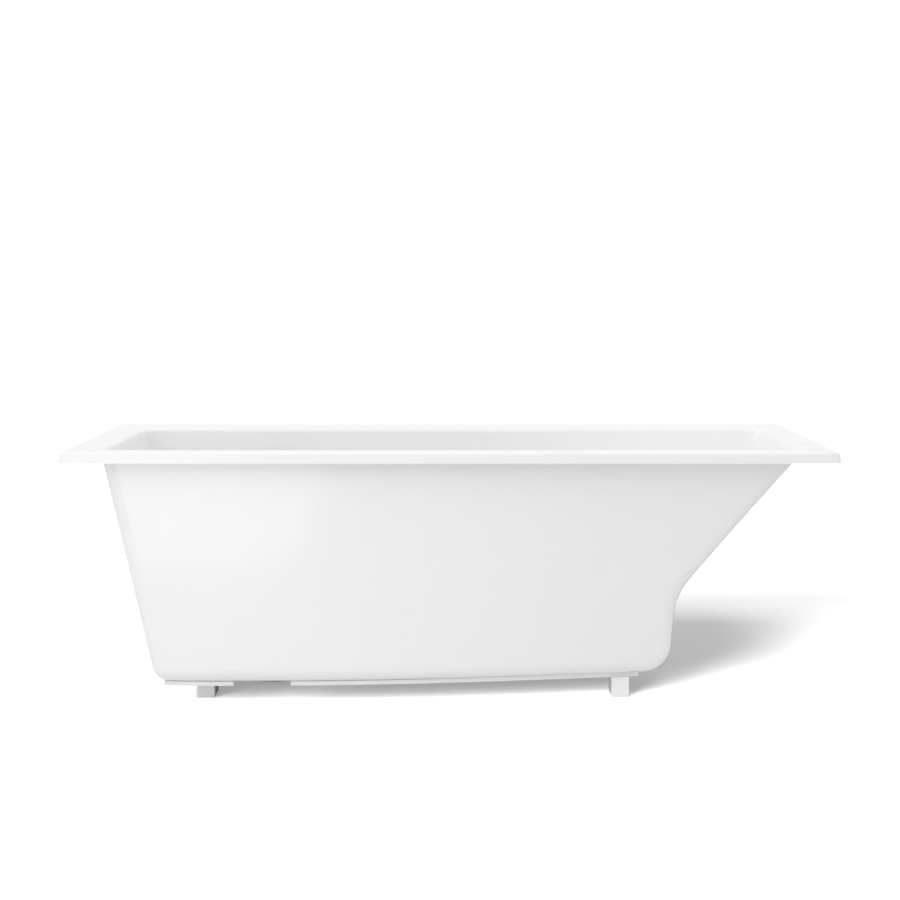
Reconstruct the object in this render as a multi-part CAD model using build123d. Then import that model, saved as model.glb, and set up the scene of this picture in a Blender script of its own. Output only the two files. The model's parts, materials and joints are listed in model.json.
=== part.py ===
from build123d import *
from math import atan, cos, degrees, radians, tan
import os

os.makedirs("parts", exist_ok=True)

# Rim and shell
rim_length = 1700.0
rim_width = 800.0
deck_height = 580.0         # floor to deck top
skirt_height = 25.0
skirt_flare = 3.0           # the skirt stands out this much more at its lower edge
skirt_thick = 8.0
deck_thick = 12.0
deck_edge_radius = 8.0
rim_corner_radius = 10.0
wall = 12.0                 # cast shell thickness

# Opening of the well at deck level
well_left = -760.0
well_right = 768.0
well_front = -342.0
well_back = 216.0
well_axis = (well_front + well_back) / 2
lip_radius = 7.0

# Side profile of the well, leans in degrees from vertical
shell_bottom = 59.0
floor_top = shell_bottom + wall
end_wall_lean = 12.4
backrest_lean = 38.9
footwell_lean = 2.9
bend_height = 242.0         # where backrest and footwell wall would meet
bend_radius = 150.0
floor_fall = 6.0            # rise of the floor from the drain to the backrest end
outer_edge_radius = 34.0
drain_end_radius = 40.0     # outer, bottom of the drain end wall
footwell_radius = 66.0      # outer, bottom of the footwell wall
inner_floor_radius = 24.0
inner_drain_corner = 18.0
inner_backrest_corner = 46.0

# Half widths of the outer bottom along the length, measured from the well axis
bottom_half_widths = ((-900, 250), (-415, 280), (-50, 254), (420, 176), (900, 94))

# Support boards, bonding pads and feet
foot_height = 47.0
board_thick = 10.0
board_top = foot_height + board_thick
board_inset = 33.0          # behind the sharp bottom outline
board_spans = {"board_drain_end": (-640.0, -484.0), "board_backrest_end": (-356.0, 431.0)}
pad_columns = (-600.0, -516.0, -320.0, -170.0, -20.0, 130.0, 280.0, 356.0)
pad_width = 40.0
pad_inset = 80.0
foot_width = 40.0
foot_depth = 80.0
foot_front_face = -218.0
foot_columns = {"drain": -558.0, "backrest": 389.0}
foot_screw_radius = 2.5
foot_screw_head = 5.0
foot_screw_length = 38.0
foot_screw_spacing = 44.0
screw_gap = 0.05

# Drain through the floor
waste_x = -416.0
waste_hole_radius = 26.0
recess_radius = 38.0
recess_depth = 4.0
waste_seal_thick = 1.5
flange_radius = 37.0
neck_radius = 23.0
neck_bore = 20.5
neck_bottom = 50.0
thread_gap = 0.1
gasket_thick = 2.0
body_top = shell_bottom - gasket_thick

# Plug and its lever
plug_radius = 31.0
stem_radius = 3.0
stem_gap = 0.08
lever_arm = 30.0
lever_z = 36.0
lever_tip_radius = 4.0
lever_width = 8.0
lever_crank = 12.0
pin_radius = 1.5
pin_gap = 0.06

# Flat trap under the drain
trap_bottom = 11.0
trap_top = 46.0
trap_wall = 3.0
trap_radius = 38.0
trap_x0 = -456.0
trap_x1 = -410.0
trap_back = 72.0
baffle_y = -20.0
baffle_bottom = 19.0
weir_y = 14.0
weir_top = 36.0
outlet_x = (trap_x0 + trap_x1) / 2
outlet_z = 27.0
outlet_radius = 20.0
outlet_bore = 18.0
outlet_end = 340.0
outlet_collar = 284.0       # near face of the stop collar; the free end starts behind it
collar_length = 4.0
collar_radius = 23.0
socket_length = 22.0

# Overflow in the back wall above the drain
overflow_z = deck_height - 95.0
seat_inner = 216.0
seat_outer = 224.0
seat_radius = 38.0
overflow_hole_radius = 27.5
overflow_back = 258.0
overflow_radius = 30.0
overflow_screw_offset = 22.0
overflow_screw_radius = 2.0
overflow_boss_radius = 6.0
knob_radius = 36.0
knob_front = 196.0
knob_thick = 8.0
spindle_radius = 4.0
bearing_gap = 0.06

# Hose and cable between overflow and drain
hose_radius = 14.0
hose_bore = 11.5
spigot_radius = 11.4
spigot_bore = 9.0
hose_x = -392.0
hose_y = 242.0
hose_z = 27.0
hose_points = (
    (waste_x, hose_y, 448), (waste_x, hose_y, 330), (hose_x, hose_y, 230),
    (hose_x, hose_y, hose_z), (hose_x, -20, hose_z),
)
hose_bends = [80, 80, 60]
cable_radius = 3.0
cable_boss = 4.0              # length of the cable boss outside the trap
cable_x = -441.0
cable_y = 245.0
cable_z = 26.0
cable_points = (
    (cable_x, cable_y, 462), (cable_x, cable_y, 400), (-500, cable_y, 300),
    (-500, cable_y, cable_z), (-500, well_axis, cable_z), (-456, well_axis, cable_z),
)
cable_bends = [60, 60, 60, 30]

up = (0, 0, 1)
back = (0, 1, 0)
down = (0, 0, -1)
right = (1, 0, 0)


def rod(start, direction, radius, length):
    return extrude(Plane(origin=start, z_dir=direction) * Circle(radius), length)


def ring(start, direction, outer, inner, length):
    return rod(start, direction, outer, length) - rod(start, direction, inner, length)


def block(x0, x1, y0, y1, z0, z1):
    return Pos((x0 + x1) / 2, (y0 + y1) / 2, (z0 + z1) / 2) * Box(x1 - x0, y1 - y0, z1 - z0)


def hexagon(start, direction, across_flats, length):
    flat = RegularPolygon(across_flats / 2, 6, major_radius=False)
    return extrude(Plane(origin=start, z_dir=direction) * flat, length)


def side_profile(inset, bottom, top):
    """Outline of the well in the length-height plane: 0 inset is the outer skin, one wall the hollow."""
    end_slope = tan(radians(end_wall_lean))
    rest_slope = tan(radians(backrest_lean))
    foot_slope = tan(radians(footwell_lean))
    left = well_left - (wall - inset) / cos(radians(end_wall_lean))
    outer_right = well_right + wall / cos(radians(backrest_lean))
    right = outer_right - inset / cos(radians(backrest_lean))
    bend_x = outer_right - (deck_height - bend_height) * rest_slope - inset
    bend_z = deck_height - (right - bend_x) / rest_slope
    floor = [(bend_x - (bend_z - bottom) * foot_slope, bottom)]
    if inset:
        floor = [(waste_x, bottom), (floor[0][0], bottom + floor_fall)]
    points = [
        (left - (top - deck_height) * end_slope, top),
        (left + (deck_height - bottom) * end_slope, bottom),
        *floor,
        (bend_x, bend_z),
        (right + (top - deck_height) * rest_slope, top),
    ]
    outline = make_face(Polyline(*points, close=True).edges())
    bend = outline.vertices().sort_by_distance((bend_x, bend_z, 0))[0]
    return fillet(bend, bend_radius + inset)


def bottom_outline(inset):
    """Curved plan outline of the bottom, moved in by the inset."""
    front = Spline(*[(x, well_axis - half + inset) for x, half in bottom_half_widths])
    rear = Spline(*[(x, well_axis + half - inset) for x, half in reversed(bottom_half_widths)])
    return make_face([front, Line(front @ 1, rear @ 0), rear, Line(rear @ 1, front @ 0)])


def well_walls(inset, bottom):
    """Front and back walls, ruled between the straight opening and the curved bottom.

    They start and end a little beyond the shell, so no face lies in another.
    """
    reach = 2 * bottom_half_widths[-1][0]
    opening = well_back - well_front + 2 * (wall - inset)
    upper = Pos(0, well_axis, deck_height + deck_thick) * Rectangle(reach, opening)
    return loft([Pos(0, 0, bottom - deck_thick) * bottom_outline(inset), upper], ruled=True)


def sharp_well(profile, inset, bottom):
    return extrude(Plane.XZ.offset(rim_width / 2) * profile, -rim_width) & well_walls(inset, bottom)


def well_outside():
    """Outer skin of the well: rounded profile, then one radius along the front and back edges."""
    top = deck_height - deck_thick / 2
    profile = side_profile(0, shell_bottom, top)
    low = sorted((v for v in profile.vertices() if v.Y < shell_bottom + 1), key=lambda v: v.X)
    profile = fillet(low[0], drain_end_radius)
    low = sorted((v for v in profile.vertices() if v.Y < shell_bottom + 1), key=lambda v: v.X)
    profile = fillet(low[-1], footwell_radius)
    body = sharp_well(profile, 0, shell_bottom)
    sides = [e for e in body.edges() if abs(e.center().Y - well_axis) > 60]
    return fillet([e for e in sides if e.center().Z < top - 1], outer_edge_radius)


def well_hollow():
    """Inside of the well, up through the deck."""
    body = sharp_well(side_profile(wall, floor_top, deck_height + deck_thick), wall, floor_top)

    def uprights(test_x):
        tall = [e for e in body.edges() if e.bounding_box().size.Z > 5 and test_x(e.center().X)]
        return [e for e in tall if abs(e.center().Y - well_axis) > 90]

    body = fillet(uprights(lambda x: x > 380), inner_backrest_corner)
    low = [e for e in body.edges() if e.bounding_box().max.Z < floor_top + floor_fall + 1]
    crease = Vector(waste_x, well_axis, floor_top)
    body = fillet([e for e in low if (e.center() - crease).length > 20], inner_floor_radius)
    return fillet(uprights(lambda x: x < -560), inner_drain_corner)


def rim():
    """Deck slab with its skirt, hollow underneath."""
    flare_angle = degrees(atan(skirt_flare / skirt_height))
    foot = Pos(0, 0, deck_height - skirt_height) * Rectangle(rim_length, rim_width)
    slab = extrude(foot, skirt_height, taper=flare_angle)
    corners = [e for e in slab.edges() if e.bounding_box().size.Z > skirt_height / 2]
    slab = fillet(corners, rim_corner_radius)
    top_edges = [e for e in slab.edges() if e.bounding_box().min.Z > deck_height - 0.1]
    slab = fillet(top_edges, deck_edge_radius)
    half_length = rim_length / 2 - skirt_flare - skirt_thick
    half_width = rim_width / 2 - skirt_flare - skirt_thick
    pocket_top = deck_height - deck_thick
    pocket = block(-half_length, half_length, -half_width, half_width, 0, pocket_top)
    return slab - pocket


def bath_shell():
    shell = rim() + well_outside() - well_hollow()
    inside = [e for e in shell.edges() if e.bounding_box().min.Z > deck_height - 0.1]
    inside = [e for e in inside if abs(e.center().X) < 800 and abs(e.center().Y) < 370]
    shell = fillet(inside, lip_radius)
    recess_floor = floor_top - recess_depth
    shell = shell - rod((waste_x, well_axis, 0), up, waste_hole_radius, deck_height / 4)
    shell = shell - rod((waste_x, well_axis, recess_floor), up, recess_radius, 20)
    shell = shell - rod((waste_x, seat_inner - 40, overflow_z), back, overflow_hole_radius, 80)
    shell = shell - rod((waste_x, seat_inner - 40, overflow_z), back, seat_radius, 40)
    return shell - rod((waste_x, seat_outer, overflow_z), back, seat_radius, 20)


def foot_rows():
    """Front face of the front and the rear feet."""
    return {"front": foot_front_face, "rear": 2 * well_axis - foot_front_face - foot_depth}


def foot_screw_places():
    places = []
    for x in foot_columns.values():
        for front_face in foot_rows().values():
            middle = front_face + foot_depth / 2
            places += [(x, middle - foot_screw_spacing / 2), (x, middle + foot_screw_spacing / 2)]
    return places


def foot_screw_shape(x, y, gap):
    """Countersunk screw; the gap makes the larger shape that its hole needs."""
    head_depth = foot_screw_head - foot_screw_radius
    shank = rod((x, y, board_top), down, foot_screw_radius + gap, foot_screw_length + gap)
    cone = Cone(foot_screw_radius + gap, foot_screw_head + gap, head_depth)
    return shank + Pos(x, y, board_top - head_depth / 2) * cone


def foot_screws():
    screws = []
    for x, y in foot_screw_places():
        slot = block(x - 3, x + 3, y - 0.5, y + 0.5, board_top - 1.2, board_top + 1)
        cross = slot + block(x - 0.5, x + 0.5, y - 3, y + 3, board_top - 1.2, board_top + 1)
        screws.append(foot_screw_shape(x, y, 0) - cross)
    return screws


def board(x0, x1):
    plate = extrude(Pos(0, 0, foot_height) * bottom_outline(board_inset), board_thick)
    plate = plate & block(x0, x1, -rim_width, rim_width, foot_height, board_top)
    for x, y in foot_screw_places():
        if x0 < x < x1:
            plate = plate - foot_screw_shape(x, y, screw_gap)
    return plate


def adhesive_pads():
    sheet = extrude(Pos(0, 0, board_top) * bottom_outline(pad_inset), shell_bottom - board_top)
    pads = []
    for x in pad_columns:
        strip = block(x - pad_width / 2, x + pad_width / 2, -rim_width, rim_width, 0, rim_length)
        pads.append(sheet & strip)
    return pads


def foot(x, front_face):
    body = block(x - foot_width / 2, x + foot_width / 2, front_face, front_face + foot_depth,
                 0, foot_height)
    body = fillet(body.edges().filter_by(Axis.Z), 1.5)
    body = chamfer(body.edges().group_by(Axis.Z)[0], 1)
    for place_x, place_y in foot_screw_places():
        if abs(place_x - x) < foot_width / 2 and front_face < place_y < front_face + foot_depth:
            body = body - foot_screw_shape(place_x, place_y, screw_gap)
    return body


def waste_flange():
    """Visible drain ring with a threaded neck and a three-armed guide for the plug stem."""
    plate_bottom = floor_top - recess_depth + waste_seal_thick
    plate_top = floor_top - 0.2
    plate = rod((waste_x, well_axis, plate_bottom), up, flange_radius, plate_top - plate_bottom)
    plate = fillet(plate.edges().group_by(Axis.Z)[-1], 0.8)
    neck = rod((waste_x, well_axis, neck_bottom), up, neck_radius, plate_bottom - neck_bottom)
    bore = rod((waste_x, well_axis, neck_bottom), up, neck_bore, plate_top - neck_bottom)
    body = plate + neck - bore
    arm_bottom = neck_bottom + 4
    arm_top = arm_bottom + 3
    for step in range(3):
        arm = block(0, neck_bore + 1, -1.5, 1.5, arm_bottom, arm_top)
        body = body + Pos(waste_x, well_axis, 0) * Rot(0, 0, 120 * step) * arm
    body = body + rod((waste_x, well_axis, arm_bottom), up, 7, arm_top - arm_bottom)
    return body - rod((waste_x, well_axis, 0), up, stem_radius + stem_gap, floor_top)


def waste_flange_seal():
    bottom = floor_top - recess_depth
    inner = waste_hole_radius + 1
    return ring((waste_x, well_axis, bottom), up, flange_radius - 1, inner, waste_seal_thick)


def waste_gasket():
    return ring((waste_x, well_axis, body_top), up, 36, 28, gasket_thick)


def trap_outline(shrink):
    """Plan of the trap: a round inlet chamber with a box leading to the outlet."""
    chamber = Pos(waste_x, well_axis) * Circle(trap_radius - shrink)
    width = trap_x1 - trap_x0 - 2 * shrink
    length = trap_back - shrink - well_axis
    tail = Pos(outlet_x, well_axis + length / 2) * Rectangle(width, length)
    return chamber + tail


def waste_body():
    """Inlet chamber and trap in one moulding, open at its base."""
    base_top = trap_bottom + trap_wall
    body = extrude(Pos(0, 0, base_top) * trap_outline(0), trap_top - base_top)
    body = body + rod((waste_x, well_axis, trap_top - 1), up, neck_radius + 5, body_top - trap_top + 1)
    body = body + rod((waste_x, well_axis, body_top - 3), up, 36, 3)
    body = body - extrude(trap_outline(trap_wall), trap_top - trap_wall)
    body = body - rod((waste_x, well_axis, 0), up, neck_radius + thread_gap, body_top)
    body = body + block(trap_x0 + 1, trap_x1 - 1, baffle_y - 1.5, baffle_y + 1.5,
                        baffle_bottom, trap_top - 1)
    pivot_x = waste_x - lever_arm
    for side in (-1, 1):
        lug_y = well_axis + side * (lever_width / 2 + 3.5)
        body = body + block(pivot_x - 4, pivot_x + 4, lug_y - 2.5, lug_y + 2.5,
                            lever_z - 4, trap_top - 1)
    body = body - rod((pivot_x, well_axis - 20, lever_z), back, pin_radius + 0.02, 40)
    socket = (outlet_x, trap_back, outlet_z)
    body = body + ring(socket, back, outlet_radius + 2.5, outlet_radius + 0.1, socket_length)
    body = body - rod((outlet_x, trap_back - 10, outlet_z), back, outlet_bore - 1, 10)
    chamber_skin = (hose_x, -42, hose_z)
    body = body + ring(chamber_skin, back, spigot_radius, spigot_bore, 42)
    body = body - rod((hose_x, well_axis + 5, hose_z), back, spigot_bore, 60)
    boss = (waste_x - trap_radius - cable_boss, well_axis, cable_z)
    body = body + rod(boss, right, 6, cable_boss + 2)
    return body - rod(boss, right, cable_radius + 0.05, 12)


def trap_base():
    """Base plate of the trap with the weir that holds the water seal."""
    plate = extrude(Pos(0, 0, trap_bottom) * trap_outline(0), trap_wall)
    inner = trap_wall + 0.1
    return plate + block(trap_x0 + inner, trap_x1 - inner, weir_y - 1.5, weir_y + 1.5,
                         trap_bottom, weir_top)


def plug_head():
    """Domed metal plug with a threaded boss under it."""
    seat = floor_top - 0.15
    disc = rod((waste_x, well_axis, seat + 2), up, plug_radius, 3.5)
    disc = fillet(disc.edges().group_by(Axis.Z)[-1], 2.5)
    boss = rod((waste_x, well_axis, seat - 5), up, 6, 7)
    return disc + boss - rod((waste_x, well_axis, seat - 5), up, stem_radius + 0.02, 6)


def plug_seal():
    return ring((waste_x, well_axis, floor_top - 0.15), up, 28, 23.5, 2)


def plug_stem():
    """Adjusting screw whose lower end rests over the lever tip."""
    bottom = lever_z + lever_tip_radius + 0.3
    top = floor_top + 0.7
    stem = rod((waste_x, well_axis, bottom), up, stem_radius, top - bottom)
    return chamfer(stem.edges().group_by(Axis.Z)[0], 0.5)


def plug_lock_nut():
    start = (waste_x, well_axis, floor_top - 9.2)
    return hexagon(start, up, 10, 4) - rod(start, up, stem_radius + 0.02, 4)


def lift_lever():
    """Bell crank: one arm under the plug stem, one short arm for the cable."""
    pivot_x = waste_x - lever_arm
    side = well_axis - lever_width / 2
    hub = rod((pivot_x, side, lever_z), back, 3.2, lever_width)
    tip = rod((waste_x, side, lever_z), back, lever_tip_radius, lever_width)
    arm = block(pivot_x, waste_x, side, side + lever_width, lever_z - 2, lever_z + 2)
    crank = block(pivot_x - 1.5, pivot_x + 1.5, side + 2, side + lever_width - 2,
                  lever_z - lever_crank, lever_z)
    lever = hub + tip + arm + crank
    return lever - rod((pivot_x, side, lever_z), back, pin_radius + pin_gap, lever_width)


def lever_pin():
    length = lever_width + 12
    return rod((waste_x - lever_arm, well_axis - length / 2, lever_z), back, pin_radius, length)


def outlet_seal():
    start = (outlet_x, trap_back + socket_length, outlet_z)
    return ring(start, back, outlet_radius + 2.4, outlet_radius + 0.05, 3)


def outlet_nut():
    """Ribbed union nut over the socket."""
    start = trap_back + 4
    length = socket_length + 2
    nut = rod((outlet_x, start, outlet_z), back, outlet_radius + 5.2, length)
    for step in range(16):
        rib = block(outlet_radius + 4, outlet_radius + 6, start, start + length, -1.2, 1.2)
        nut = nut + Pos(outlet_x, 0, outlet_z) * Rot(0, 22.5 * step, 0) * rib
    nut = nut - rod((outlet_x, start, outlet_z), back, outlet_radius + 2.6, length - 3)
    return nut - rod((outlet_x, start, outlet_z), back, outlet_radius + 0.15, length)


def outlet_pipe():
    """Waste pipe with a stop collar before its plain free end."""
    start = trap_back + 3
    pipe = ring((outlet_x, start, outlet_z), back, outlet_radius, outlet_bore, outlet_end - start)
    collar = (outlet_x, outlet_collar, outlet_z)
    return pipe + ring(collar, back, collar_radius, outlet_radius - 1, collar_length)


def overflow_body():
    """Chamber behind the back wall, with the hose spigot and the cable entry below."""
    start = seat_outer + 2
    centre = (waste_x, start, overflow_z)
    body = rod(centre, back, overflow_radius, overflow_back - start) + rod(centre, back, 36, 3)
    spigot_top = overflow_z - overflow_radius + 3
    body = body + rod((waste_x, hose_y, spigot_top), down, spigot_radius, spigot_top - 425)
    body = body + rod((cable_x, cable_y, overflow_z - 18), down, 5.5, 18)
    bore = rod(centre, back, overflow_radius - 3, overflow_back - start)
    for side in (-1, 1):
        x = waste_x + side * overflow_screw_offset
        bore = bore - rod((x, start, overflow_z), back, overflow_boss_radius, 26)
    body = body - bore
    for side in (-1, 1):
        x = waste_x + side * overflow_screw_offset
        body = body - rod((x, start, overflow_z), back, overflow_screw_radius + 0.05, 20)
    body = body - rod((waste_x, hose_y, spigot_top + 1), down, spigot_bore, 60)
    return body - rod((cable_x, cable_y, overflow_z - 14), down, cable_radius + 0.05, 30)


def overflow_back_cover():
    lid = rod((waste_x, overflow_back, overflow_z), back, overflow_radius, 2.5)
    lid = chamfer(lid.edges().group_by(Axis.Y)[-1], 1)
    lid = lid + ring((waste_x, overflow_back - 2.5, overflow_z), back, overflow_radius - 3.1, 23, 2.5)
    lid = lid + rod((waste_x, overflow_back - 6, overflow_z), back, 7, 6)
    return lid - rod((waste_x, overflow_back - 6, overflow_z), back, spindle_radius + bearing_gap, 5)


def overflow_gasket():
    return ring((waste_x, seat_outer, overflow_z), back, 35.5, 28, 2)


def overflow_face_seal():
    return ring((waste_x, seat_inner - 1, overflow_z), back, 35.5, 28.5, 1)


def overflow_screw_places():
    return [(waste_x + side * overflow_screw_offset, overflow_z) for side in (-1, 1)]


def overflow_faceplate():
    """Perforated plate on the bath side that carries the knob bearing."""
    start = seat_inner - 3.5
    plate = rod((waste_x, start, overflow_z), back, 36, 2.5)
    plate = plate + rod((waste_x, start, overflow_z), back, 7, 16)
    for step in range(8):
        if step % 4:
            hole = rod((20, start, 0), back, 5, 2.5)
            plate = plate - Pos(waste_x, 0, overflow_z) * Rot(0, 45 * step, 0) * hole
    for x, z in overflow_screw_places():
        plate = plate - rod((x, start, z), back, overflow_screw_radius + 0.1, 2.5)
    return plate - rod((waste_x, start, overflow_z), back, spindle_radius + bearing_gap, 16)


def overflow_screws():
    screws = []
    start = seat_inner - 3.5
    for x, z in overflow_screw_places():
        head = rod((x, start - 1.6, z), back, 3.6, 1.6)
        shank = rod((x, start, z), back, overflow_screw_radius, 28)
        slot = block(x - 4, x + 4, start - 2, start - 0.9, z - 0.5, z + 0.5)
        screws.append(head + shank - slot)
    return screws


def overflow_knob():
    """Round turning cover with a scalloped edge; water enters behind it."""
    disc = rod((waste_x, knob_front, overflow_z), back, knob_radius, knob_thick)
    disc = fillet(disc.edges().group_by(Axis.Y)[0], 2.5)
    for step in range(12):
        grip = rod((knob_radius + 5, knob_front, 0), back, 6.5, knob_thick)
        disc = disc - Pos(waste_x, 0, overflow_z) * Rot(0, 30 * step + 15, 0) * grip
    disc = disc - rod((waste_x, knob_front + 3, overflow_z), back, knob_radius - 6, knob_thick)
    knob = disc + rod((waste_x, knob_front + 2, overflow_z), back, 8, 12.5)
    knob = knob - rod((waste_x, knob_front + 6, overflow_z), back, spindle_radius + 0.02, 12)
    knob = knob - rod((waste_x, knob_front, overflow_z), back, 2.1, 10)
    return knob - rod((waste_x, knob_front, overflow_z), back, 5, 3.5)


def knob_screw():
    head = rod((waste_x, knob_front + 1.5, overflow_z), back, 4, 2)
    socket = hexagon((waste_x, knob_front + 1.5, overflow_z), back, 2.5, 1.2)
    return head + rod((waste_x, knob_front + 3.5, overflow_z), back, 2, 10) - socket


def knob_cap():
    cap = rod((waste_x, knob_front - 1, overflow_z), back, 7, 1)
    cap = fillet(cap.edges().group_by(Axis.Y)[0], 0.7)
    return cap + ring((waste_x, knob_front, overflow_z), back, 4.95, 4.2, 1.4)


def overflow_spindle():
    start = (waste_x, knob_front + 6.1, overflow_z)
    shaft = rod(start, back, spindle_radius, overflow_back - 1.5 - knob_front - 6.1)
    return shaft - rod(start, back, 2.02, 9)


def cable_drum():
    """Grooved disc on the spindle that winds the cable's core."""
    start = (waste_x, seat_inner + 15, overflow_z)
    drum = rod(start, back, 15, 8) - ring((waste_x, seat_inner + 17.5, overflow_z), back, 15, 12, 3)
    return drum - rod(start, back, spindle_radius + 0.02, 8)


def bent_tube(points, bends, radius, bore):
    path = FilletPolyline(*points, radius=bends)
    start = Plane(origin=path @ 0, z_dir=path % 0)
    body = sweep(start * Circle(radius), path=path)
    if bore:
        body = body - sweep(start * Circle(bore), path=path)
    return body


def hose_clips():
    """Two identical rings that clamp the hose on its spigots."""
    upper = ring((waste_x, hose_y, 444), down, hose_radius + 2, hose_radius + 0.05, 9)
    lower = ring((hose_x, -17, hose_z), back, hose_radius + 2, hose_radius + 0.05, 9)
    return [upper, lower]


def cable_glands():
    """Two identical nuts where the cable enters the overflow and the drain."""
    upper_start = (cable_x, cable_y, overflow_z - 36)
    lower_start = (waste_x - trap_radius - cable_boss, well_axis, cable_z)
    upper = hexagon(upper_start, down, 11, 7) - rod(upper_start, down, cable_radius + 0.05, 7)
    lower = hexagon(lower_start, (-1, 0, 0), 11, 7)
    return [upper, lower - rod(lower_start, (-1, 0, 0), cable_radius + 0.05, 7)]


def as_shape(piece):
    return Compound(children=piece) if isinstance(piece, list) else piece


nodes = {
    "bath_shell": bath_shell(),
    "adhesive_pads": adhesive_pads(),
    "foot_screws": foot_screws(),
    "waste_flange": waste_flange(),
    "waste_flange_seal": waste_flange_seal(),
    "waste_gasket": waste_gasket(),
    "waste_body": waste_body(),
    "trap_base": trap_base(),
    "plug_head": plug_head(),
    "plug_seal": plug_seal(),
    "plug_stem": plug_stem(),
    "plug_lock_nut": plug_lock_nut(),
    "lift_lever": lift_lever(),
    "lever_pin": lever_pin(),
    "outlet_seal": outlet_seal(),
    "outlet_nut": outlet_nut(),
    "outlet_pipe": outlet_pipe(),
    "overflow_body": overflow_body(),
    "overflow_back_cover": overflow_back_cover(),
    "overflow_gasket": overflow_gasket(),
    "overflow_face_seal": overflow_face_seal(),
    "overflow_faceplate": overflow_faceplate(),
    "overflow_screws": overflow_screws(),
    "overflow_knob": overflow_knob(),
    "knob_screw": knob_screw(),
    "knob_cap": knob_cap(),
    "overflow_spindle": overflow_spindle(),
    "cable_drum": cable_drum(),
    "overflow_hose": bent_tube(hose_points, hose_bends, hose_radius, hose_bore),
    "hose_clips": hose_clips(),
    "control_cable": bent_tube(cable_points, cable_bends, cable_radius, 0),
    "cable_glands": cable_glands(),
}
for name, span in board_spans.items():
    nodes[name] = board(*span)
for end, x in foot_columns.items():
    for row, front_face in foot_rows().items():
        nodes[f"foot_{row}_{end}"] = foot(x, front_face)

for name, piece in nodes.items():
    export_step(as_shape(piece), f"parts/{name}.step")
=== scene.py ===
import bmesh
import bpy
import json
from math import cos, pi, radians, sin
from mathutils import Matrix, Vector


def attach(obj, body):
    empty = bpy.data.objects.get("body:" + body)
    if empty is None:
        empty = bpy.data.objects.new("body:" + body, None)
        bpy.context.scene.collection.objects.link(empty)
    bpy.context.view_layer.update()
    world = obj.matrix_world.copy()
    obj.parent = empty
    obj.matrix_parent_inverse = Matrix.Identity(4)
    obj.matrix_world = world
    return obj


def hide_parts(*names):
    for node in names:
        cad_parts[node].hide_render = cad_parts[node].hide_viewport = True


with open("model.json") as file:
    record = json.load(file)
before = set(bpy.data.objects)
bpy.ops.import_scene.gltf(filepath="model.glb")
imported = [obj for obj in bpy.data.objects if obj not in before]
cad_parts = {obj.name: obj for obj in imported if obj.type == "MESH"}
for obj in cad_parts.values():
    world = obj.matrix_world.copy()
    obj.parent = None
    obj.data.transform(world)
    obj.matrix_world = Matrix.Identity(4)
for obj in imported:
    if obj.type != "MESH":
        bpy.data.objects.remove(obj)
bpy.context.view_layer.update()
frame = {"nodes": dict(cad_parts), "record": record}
nodes = frame["nodes"]
print("frame loaded:", len(nodes), "nodes")


# building blocks shared by the finishes, all lengths in metres

def startFinish(name, color, rough, metal=0.0):
    mat = bpy.data.materials.new(name)
    mat.use_nodes = True
    shader = mat.node_tree.nodes["Principled BSDF"]
    shader.inputs["Base Color"].default_value = (*color, 1)
    shader.inputs["Roughness"].default_value = rough
    shader.inputs["Metallic"].default_value = metal
    return mat, mat.node_tree, shader


noiseDetail = {"smooth": 2.0, "medium": 3.0, "rich": 4.0, "fine": 5.0}

def cloud(tree, size, detail, stretch=(1, 1, 1)):
    # soft noise whose features are about size metres across
    coords = tree.nodes.new("ShaderNodeTexCoord")
    mapping = tree.nodes.new("ShaderNodeMapping")
    mapping.inputs["Scale"].default_value = stretch
    noise = tree.nodes.new("ShaderNodeTexNoise")
    noise.inputs["Scale"].default_value = 1.0 / size
    noise.inputs["Detail"].default_value = noiseDetail[detail]
    tree.links.new(coords.outputs["Object"], mapping.inputs["Vector"])
    tree.links.new(mapping.outputs["Vector"], noise.inputs["Vector"])
    return noise.outputs["Fac"]


def cells(tree, size):
    coords = tree.nodes.new("ShaderNodeTexCoord")
    voronoi = tree.nodes.new("ShaderNodeTexVoronoi")
    voronoi.inputs["Scale"].default_value = 1.0 / size
    tree.links.new(coords.outputs["Object"], voronoi.inputs["Vector"])
    return voronoi.outputs["Color"]


def spread(tree, fac, low, high, fromLow=0.3, fromHigh=0.7):
    ranger = tree.nodes.new("ShaderNodeMapRange")
    ranger.inputs["From Min"].default_value = fromLow
    ranger.inputs["From Max"].default_value = fromHigh
    ranger.inputs["To Min"].default_value = low
    ranger.inputs["To Max"].default_value = high
    tree.links.new(fac, ranger.inputs["Value"])
    return ranger.outputs["Result"]


def gloss(tree, shader, fac, rough):
    # roughness between the two values of rough
    tree.links.new(spread(tree, fac, *rough), shader.inputs["Roughness"])


def tint(tree, shader, fac, colorA, colorB, low=0.3, high=0.7):
    ramp = tree.nodes.new("ShaderNodeValToRGB")
    ramp.color_ramp.elements[0].position = low
    ramp.color_ramp.elements[1].position = high
    ramp.color_ramp.elements[0].color = (*colorA, 1)
    ramp.color_ramp.elements[1].color = (*colorB, 1)
    tree.links.new(fac, ramp.inputs["Fac"])
    tree.links.new(ramp.outputs["Color"], shader.inputs["Base Color"])


def dents(tree, shader, fac, depth, strength):
    bump = tree.nodes.new("ShaderNodeBump")
    bump.inputs["Strength"].default_value = strength
    bump.inputs["Distance"].default_value = depth
    tree.links.new(fac, bump.inputs["Height"])
    tree.links.new(bump.outputs["Normal"], shader.inputs["Normal"])


# cast white shell: polished, faintly cloudy, with a very fine orange peel

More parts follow.
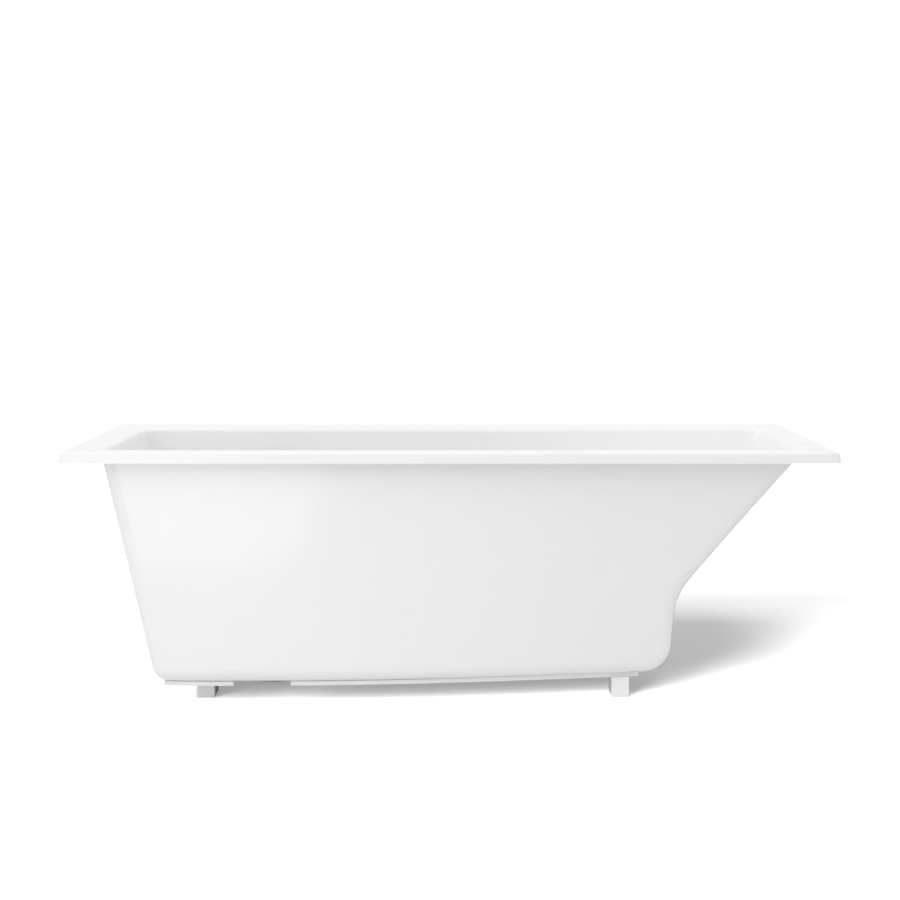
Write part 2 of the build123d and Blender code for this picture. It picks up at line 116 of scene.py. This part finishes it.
shellLook = {"white": (0.90, 0.90, 0.898), "cloudy": (0.892, 0.893, 0.893), "cloudSize": 0.3,
             "rough": (0.18, 0.215), "filmSize": 0.09, "ior": 1.49, "coat": 0.3, "coatRough": 0.08,
             "peelSize": 0.006, "peelDepth": 0.000004, "peelStrength": 0.5}

def castWhite():
    look = shellLook
    mat, tree, shader = startFinish("castWhite", look["white"], look["rough"][0])
    tint(tree, shader, cloud(tree, look["cloudSize"], "smooth"), look["cloudy"], look["white"])
    gloss(tree, shader, cloud(tree, look["filmSize"], "smooth"), look["rough"])
    shader.inputs["IOR"].default_value = look["ior"]
    shader.inputs["Coat Weight"].default_value = look["coat"]
    shader.inputs["Coat Roughness"].default_value = look["coatRough"]
    dents(tree, shader, cloud(tree, look["peelSize"], "smooth"), look["peelDepth"], look["peelStrength"])
    return mat


# white sealed board: satin film with the long fibres of the panel just showing through

boardLook = {"white": (0.90, 0.90, 0.895), "dusty": (0.865, 0.863, 0.855), "dustSize": 0.05,
             "rough": (0.42, 0.58), "fibreSize": 0.006, "fibreDepth": 0.00012, "fibreStrength": 0.5,
             "fibreStretch": (0.12, 1, 1), "dustStretch": (0.4, 1, 1)}

def sealedBoard():
    look = boardLook
    mat, tree, shader = startFinish("sealedBoard", look["white"], look["rough"][0])
    fibre = cloud(tree, look["fibreSize"], "fine", look["fibreStretch"])
    dust = cloud(tree, look["dustSize"], "fine", look["dustStretch"])
    tint(tree, shader, dust, look["dusty"], look["white"])
    gloss(tree, shader, fibre, look["rough"])
    dents(tree, shader, fibre, look["fibreDepth"], look["fibreStrength"])
    return mat


# moulded block of a foot: fine spark-eroded grain

footLook = {"white": (0.92, 0.92, 0.915), "scuffed": (0.885, 0.882, 0.875), "scuffSize": 0.03,
            "scuffFrom": 0.25, "scuffTo": 0.5, "rough": (0.42, 0.6), "roughSize": 0.012,
            "grainSize": 0.0012, "grainDepth": 0.00006, "grainStrength": 0.5}

def mouldedWhite():
    look = footLook
    mat, tree, shader = startFinish("mouldedWhite", look["white"], look["rough"][0])
    scuffs = cloud(tree, look["scuffSize"], "fine")
    tint(tree, shader, scuffs, look["scuffed"], look["white"], look["scuffFrom"], look["scuffTo"])
    gloss(tree, shader, cloud(tree, look["roughSize"], "rich"), look["rough"])
    dents(tree, shader, cloud(tree, look["grainSize"], "smooth"), look["grainDepth"], look["grainStrength"])
    return mat


# cured bonding paste: lumpy, satin, with painted shade darkening the hollows between the lumps

pasteLook = {"hollowShade": (0.26, 0.26, 0.265), "pale": (0.40, 0.40, 0.40), "rough": (0.45, 0.7),
             "lumpSize": 0.009, "lumpDepth": 0.0012, "lumpStrength": 0.7}

def bondingPaste():
    look = pasteLook
    mat, tree, shader = startFinish("bondingPaste", look["pale"], look["rough"][0])
    lumps = cloud(tree, look["lumpSize"], "rich")
    # the grey follows the lump height: painted shade makes the hollows darker and leaves the tops pale
    tint(tree, shader, lumps, look["hollowShade"], look["pale"])
    gloss(tree, shader, lumps, look["rough"])
    dents(tree, shader, lumps, look["lumpDepth"], look["lumpStrength"])
    return mat


# zinc plated steel: spangled, slightly cloudy

zincLook = {"bright": (0.66, 0.66, 0.64), "dull": (0.50, 0.51, 0.51), "spangleSize": 0.0022,
            "dullFrom": 0.2, "dullTo": 0.8, "rough": (0.25, 0.45), "roughSize": 0.004,
            "pitSize": 0.0015, "pitDepth": 0.00005, "pitStrength": 0.4}

def zincPlate():
    look = zincLook
    mat, tree, shader = startFinish("zincPlate", look["bright"], look["rough"][0], 1.0)
    spangle = cells(tree, look["spangleSize"])
    tint(tree, shader, spangle, look["dull"], look["bright"], look["dullFrom"], look["dullTo"])
    gloss(tree, shader, cloud(tree, look["roughSize"], "rich"), look["rough"])
    dents(tree, shader, cloud(tree, look["pitSize"], "medium"), look["pitDepth"], look["pitStrength"])
    return mat


# polished chrome: nearly a mirror, with water film and hair scratches

chromeLook = {"clear": (0.83, 0.84, 0.85), "film": (0.74, 0.75, 0.76), "filmSize": 0.02,
              "filmFrom": 0.25, "filmTo": 0.5, "rough": (0.04, 0.13), "hairSize": 0.0012,
              "hairStretch": (1, 1, 0.06), "hairDepth": 0.000006, "hairStrength": 0.3}

def polishedChrome():
    look = chromeLook
    mat, tree, shader = startFinish("polishedChrome", look["clear"], look["rough"][0], 1.0)
    film = cloud(tree, look["filmSize"], "fine")
    tint(tree, shader, film, look["film"], look["clear"], look["filmFrom"], look["filmTo"])
    hairs = cloud(tree, look["hairSize"], "medium", look["hairStretch"])
    gloss(tree, shader, hairs, look["rough"])
    dents(tree, shader, hairs, look["hairDepth"], look["hairStrength"])
    return mat


# black rubber of the seals

rubberLook = {"black": (0.022, 0.022, 0.023), "bloom": (0.05, 0.05, 0.05), "bloomSize": 0.006,
              "rough": (0.5, 0.75), "roughSize": 0.003,
              "grainSize": 0.0008, "grainDepth": 0.00005, "grainStrength": 0.5}

def blackRubber():
    look = rubberLook
    mat, tree, shader = startFinish("blackRubber", look["black"], look["rough"][0])
    tint(tree, shader, cloud(tree, look["bloomSize"], "fine"), look["black"], look["bloom"])
    gloss(tree, shader, cloud(tree, look["roughSize"], "medium"), look["rough"])
    dents(tree, shader, cloud(tree, look["grainSize"], "smooth"), look["grainDepth"], look["grainStrength"])
    return mat


# plastics of the drain: each is a moulded shade with its own grain and flow marks

plasticLooks = {
    "pipePlastic": {"pale": (0.74, 0.74, 0.72), "deep": (0.68, 0.68, 0.665),
                    "rough": (0.34, 0.48), "grain": 0.0016},
    "nutPlastic": {"pale": (0.30, 0.31, 0.32), "deep": (0.25, 0.26, 0.27),
                   "rough": (0.4, 0.55), "grain": 0.001},
    "leverPlastic": {"pale": (0.74, 0.71, 0.61), "deep": (0.68, 0.65, 0.55),
                     "rough": (0.3, 0.42), "grain": 0.002},
    "hosePlastic": {"pale": (0.71, 0.71, 0.69), "deep": (0.62, 0.62, 0.60),
                    "rough": (0.38, 0.55), "grain": 0.0014},
    "cableJacket": {"pale": (0.05, 0.05, 0.05), "deep": (0.03, 0.03, 0.03),
                    "rough": (0.42, 0.58), "grain": 0.0009},
}
flowMarks = {"size": 0.025, "stretch": (1, 1, 0.5), "roughSize": 0.008,
             "grainDepth": 0.00005, "grainStrength": 0.45}

def mouldedPlastic(name):
    look = plasticLooks[name]
    mat, tree, shader = startFinish(name, look["pale"], look["rough"][0])
    flow = cloud(tree, flowMarks["size"], "rich", flowMarks["stretch"])
    tint(tree, shader, flow, look["deep"], look["pale"])
    gloss(tree, shader, cloud(tree, flowMarks["roughSize"], "rich"), look["rough"])
    grain = cloud(tree, look["grain"], "smooth")
    dents(tree, shader, grain, flowMarks["grainDepth"], flowMarks["grainStrength"])
    return mat


# turned brass with tool marks

brassLook = {"pale": (0.76, 0.59, 0.31), "deep": (0.58, 0.42, 0.20), "tarnishSize": 0.01,
             "rough": (0.18, 0.36), "markSize": 0.0008, "markStretch": (0.1, 1, 1),
             "markDepth": 0.00003, "markStrength": 0.4}

def turnedBrass():
    look = brassLook
    mat, tree, shader = startFinish("turnedBrass", look["pale"], look["rough"][0], 1.0)
    tint(tree, shader, cloud(tree, look["tarnishSize"], "rich"), look["deep"], look["pale"])
    marks = cloud(tree, look["markSize"], "smooth", look["markStretch"])
    gloss(tree, shader, marks, look["rough"])
    dents(tree, shader, marks, look["markDepth"], look["markStrength"])
    return mat


finishes = {
    "shell_white": castWhite(),
    "board_white": sealedBoard(),
    "foot_white": mouldedWhite(),
    "adhesive_grey": bondingPaste(),
    "zinc_steel": zincPlate(),
    "chrome_trim": polishedChrome(),
    "seal_rubber": blackRubber(),
    "brass_fitting": turnedBrass(),
    "pipe_plastic": mouldedPlastic("pipePlastic"),
    "nut_plastic": mouldedPlastic("nutPlastic"),
    "lever_plastic": mouldedPlastic("leverPlastic"),
    "hose_plastic": mouldedPlastic("hosePlastic"),
    "cable_black": mouldedPlastic("cableJacket"),
}
slotOf = {part["node"]: part["material_slot"] for part in frame["record"]["subparts"]}
for name, node in nodes.items():
    node.data.materials.clear()
    node.data.materials.append(finishes[slotOf[name]])
print("finishes made:", len(finishes))


# broken edges on the sawn boards and the moulded feet

edgeBreaks = {"board_drain_end": 0.0008, "board_backrest_end": 0.0008,
              "foot_front_drain": 0.0012, "foot_rear_drain": 0.0012,
              "foot_front_backrest": 0.0012, "foot_rear_backrest": 0.0012}
edgeWork = {"join": 0.00002, "segments": 3, "sharperThan": 40}

for name, width in edgeBreaks.items():
    weld = nodes[name].modifiers.new("weld", "WELD")
    weld.merge_threshold = edgeWork["join"]
    edge = nodes[name].modifiers.new("edge", "BEVEL")
    edge.width = width
    edge.segments = edgeWork["segments"]
    edge.limit_method = "ANGLE"
    edge.angle_limit = radians(edgeWork["sharperThan"])
    edge.harden_normals = True
print("edges broken:", len(edgeBreaks), "pieces")


# flexible overflow hose: ribbed between two plain cuffs, on the line that the frame gives it

hoseLook = {"cuff": 0.017, "pitch": 0.0052, "crest": 0.014, "valley": 0.0124, "bore": 0.0115,
            "around": 28, "ringsPerRib": 6, "ringsPerBoreRing": 12, "fullness": 0.7, "lineSteps": 24,
            "route": [(-0.416, 0.242, 0.448), (-0.416, 0.242, 0.33), (-0.392, 0.242, 0.23),
                      (-0.392, 0.242, 0.147), (-0.392, 0.242, 0.027), (-0.392, 0.122, 0.027),
                      (-0.392, -0.02, 0.027)]}
ringStart = Vector((1, 0.013, 0.02))    # never along the hose, so that every ring has a first point

def smoothLine(name, route, steps):
    data = bpy.data.curves.new(name, "CURVE")
    data.dimensions = "3D"
    spline = data.splines.new("NURBS")
    spline.points.add(len(route) - 1)
    for point, place in zip(spline.points, route):
        point.co = (*place, 1)
    spline.use_endpoint_u = True
    spline.order_u = 3
    spline.resolution_u = steps
    guide = bpy.data.objects.new(name, data)
    bpy.context.collection.objects.link(guide)
    bpy.context.view_layer.update()
    line = bpy.data.meshes.new_from_object(guide)
    places = [vert.co.copy() for vert in line.vertices]
    bpy.data.objects.remove(guide)
    bpy.data.meshes.remove(line)
    return places


def alongLine(places, gap):
    # even steps along the line, each with its running length
    slack = 1e-9    # keeps the last step from being lost to rounding
    steps = []
    travelled = 0.0
    wanted = 0.0
    for here, ahead in zip(places, places[1:]):
        length = (ahead - here).length
        while wanted <= travelled + length + slack:
            steps.append((here.lerp(ahead, (wanted - travelled) / length), wanted))
            wanted += gap
        travelled += length
    return steps, travelled


def hoseRadius(distance, length):
    toEnd = min(distance, length - distance)
    if toEnd < hoseLook["cuff"]:
        return hoseLook["crest"]
    wave = 0.5 + 0.5 * cos(2 * pi * (toEnd - hoseLook["cuff"]) / hoseLook["pitch"])
    return hoseLook["valley"] + (hoseLook["crest"] - hoseLook["valley"]) * wave ** hoseLook["fullness"]


def addRing(bm, center, along, radius):
    side = along.cross(ringStart).normalized()
    other = along.cross(side).normalized()
    ring = []
    for step in range(hoseLook["around"]):
        angle = 2 * pi * step / hoseLook["around"]
        ring.append(bm.verts.new(center + radius * (cos(angle) * side + sin(angle) * other)))
    return ring


def joinRings(bm, first, second):
    count = len(first)
    for step in range(count):
        after = (step + 1) % count
        bm.faces.new((first[step], first[after], second[after], second[step]))


def makeHose():
    line = smoothLine("hoseLine", hoseLook["route"], hoseLook["lineSteps"])
    steps, length = alongLine(line, hoseLook["pitch"] / hoseLook["ringsPerRib"])
    places = [place for place, _ in steps]
    last = len(steps) - 1
    bm = bmesh.new()
    outer, inner = [], []
    for index, (place, distance) in enumerate(steps):
        along = (places[min(index + 1, last)] - places[max(index - 1, 0)]).normalized()
        outer.append(addRing(bm, place, along, hoseRadius(distance, length)))
        if index % hoseLook["ringsPerBoreRing"] == 0 or index == last:
            inner.append(addRing(bm, place, along, hoseLook["bore"]))
    loop = outer + inner[::-1]
    for first, second in zip(loop, loop[1:] + loop[:1]):
        joinRings(bm, first, second)
    bmesh.ops.recalc_face_normals(bm, faces=bm.faces)
    mesh = bpy.data.meshes.new("ribbedHose")
    bm.to_mesh(mesh)
    bm.free()
    mesh.shade_smooth()
    mesh.materials.append(finishes["hose_plastic"])
    hose = bpy.data.objects.new("ribbedHose", mesh)
    bpy.context.collection.objects.link(hose)
    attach(hose, "bath")
    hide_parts("overflow_hose")
    print("hose made, length", round(length, 3))


makeHose()


# camera, floor and light

shot = {"lens": 77.55, "sensor": 36.0, "place": (0.0, -4.5788, 0.9697), "pitch": 5.261}

def makeCamera():
    data = bpy.data.cameras.new("camera")
    data.lens = shot["lens"]
    data.sensor_width = shot["sensor"]
    cam = bpy.data.objects.new("camera", data)
    cam.location = shot["place"]
    cam.rotation_euler = (radians(90 - shot["pitch"]), 0, 0)
    bpy.context.collection.objects.link(cam)
    bpy.context.scene.camera = cam


# sky levels by direction; each span is where a level fades in, along one axis of the direction
skyLook = {"middle": 1.28, "zenith": 0.97, "behind": 0.88, "lowLeft": 0.88, "lowRight": 0.05,
           "backdrop": 1.05, "riseSpan": (0.05, 0.3), "zenithSpan": (0.5, 0.85),
           "behindSpan": (0.8, 0.98)}
floorLook = {"half": 30.0, "shade": 0.2, "glow": 0.32, "bounce": 0.106}
lampLook = {"spread": 27, "startHeight": 3,
            "near": {"power": 8.5, "turn": 5, "height": 48},
            "far": {"power": 37, "turn": 30, "height": 20}}
fillLook = {"power": 5.2, "place": (-0.95, -2.0, 0.25), "aim": (-0.6, -0.35, 0.35), "size": 1.2}

def cameraSwitch(tree, seen, unseen, target):
    # one shader for what is seen directly, another for the light it passes on
    rays = tree.nodes.new("ShaderNodeLightPath")
    mix = tree.nodes.new("ShaderNodeMixShader")
    tree.links.new(rays.outputs["Is Camera Ray"], mix.inputs["Fac"])
    tree.links.new(unseen, mix.inputs[1])
    tree.links.new(seen, mix.inputs[2])
    tree.links.new(mix.outputs["Shader"], target)


def combine(tree, operation, first, second):
    math = tree.nodes.new("ShaderNodeMath")
    math.operation = operation
    tree.links.new(first, math.inputs[0])
    tree.links.new(second, math.inputs[1])
    return math.outputs["Value"]


def plainWhite(background, strength):
    background.inputs["Color"].default_value = (1, 1, 1, 1)
    background.inputs["Strength"].default_value = strength
    return background


def makeSky():
    # white surroundings, dimmer near the horizon on the backrest side
    world = bpy.data.worlds.new("studioSky")
    bpy.context.scene.world = world
    world.use_nodes = True
    tree = world.node_tree
    sky = plainWhite(tree.nodes["Background"], skyLook["middle"])
    coords = tree.nodes.new("ShaderNodeTexCoord")
    split = tree.nodes.new("ShaderNodeSeparateXYZ")
    tree.links.new(coords.outputs["Generated"], split.inputs["Vector"])
    across, depth, height = (split.outputs[axis] for axis in "XYZ")
    low = spread(tree, across, skyLook["lowLeft"], skyLook["lowRight"], -1.0, 1.0)
    rising = spread(tree, height, 0.0, skyLook["middle"], *skyLook["riseSpan"])
    fading = spread(tree, height, skyLook["middle"], skyLook["zenith"], *skyLook["zenithSpan"])
    behind = spread(tree, depth, 0.0, skyLook["behind"], *skyLook["behindSpan"])
    level = combine(tree, "MAXIMUM", low, combine(tree, "MINIMUM", rising, fading))
    tree.links.new(combine(tree, "MAXIMUM", level, behind), sky.inputs["Strength"])
    backdrop = plainWhite(tree.nodes.new("ShaderNodeBackground"), skyLook["backdrop"])
    surface = tree.nodes["World Output"].inputs["Surface"]
    cameraSwitch(tree, backdrop.outputs[0], sky.outputs[0], surface)


def aimed(name, light, place, target):
    lamp = bpy.data.objects.new(name, light)
    lamp.location = place
    lamp.rotation_euler = (Vector(target) - Vector(place)).to_track_quat("-Z", "Y").to_euler()
    bpy.context.collection.objects.link(lamp)
    return lamp


def floorLamp(name, look, receivers):
    # a soft sun that lights only the floor, to throw the bath's shadow on it
    sun = bpy.data.lights.new(name, "SUN")
    sun.energy = look["power"]
    sun.angle = radians(lampLook["spread"])
    turn, height = radians(look["turn"]), radians(look["height"])
    beam = Vector((sin(turn) * cos(height), cos(turn) * cos(height), -sin(height)))
    start = Vector((0, 0, lampLook["startHeight"]))
    aimed(name, sun, start, start + beam).light_linking.receiver_collection = receivers


def makeLights(floor):
    receivers = bpy.data.collections.new("floorOnly")
    receivers.objects.link(floor)
    floorLamp("nearLamp", lampLook["near"], receivers)
    floorLamp("farLamp", lampLook["far"], receivers)
    soft = bpy.data.lights.new("sideFill", "AREA")
    soft.shape = "DISK"
    soft.size = fillLook["size"]
    soft.energy = fillLook["power"]
    aimed("sideFill", soft, fillLook["place"], fillLook["aim"]).visible_camera = False


def diffuse(tree, shade):
    shader = tree.nodes.new("ShaderNodeBsdfDiffuse")
    shader.inputs["Color"].default_value = (shade, shade, shade, 1)
    return shader


def makeFloor():
    mesh = bpy.data.meshes.new("studioFloor")
    half = floorLook["half"]
    corners = [(-half, -half, 0), (half, -half, 0), (half, half, 0), (-half, half, 0)]
    mesh.from_pydata(corners, [], [(0, 1, 2, 3)])
    floor = bpy.data.objects.new("studioFloor", mesh)
    bpy.context.collection.objects.link(floor)
    mat = bpy.data.materials.new("studioFloor")
    mat.use_nodes = True
    tree = mat.node_tree
    glow = tree.nodes.new("ShaderNodeEmission")
    glow.inputs["Strength"].default_value = floorLook["glow"]
    seen = tree.nodes.new("ShaderNodeAddShader")
    tree.links.new(diffuse(tree, floorLook["shade"]).outputs[0], seen.inputs[0])
    tree.links.new(glow.outputs[0], seen.inputs[1])
    unseen = diffuse(tree, floorLook["bounce"])
    surface = tree.nodes["Material Output"].inputs["Surface"]
    cameraSwitch(tree, seen.outputs[0], unseen.outputs[0], surface)
    mesh.materials.append(mat)
    return floor


makeCamera()
makeSky()
makeLights(makeFloor())
bpy.context.scene.view_settings.view_transform = "Standard"
print("camera, light and floor ready")
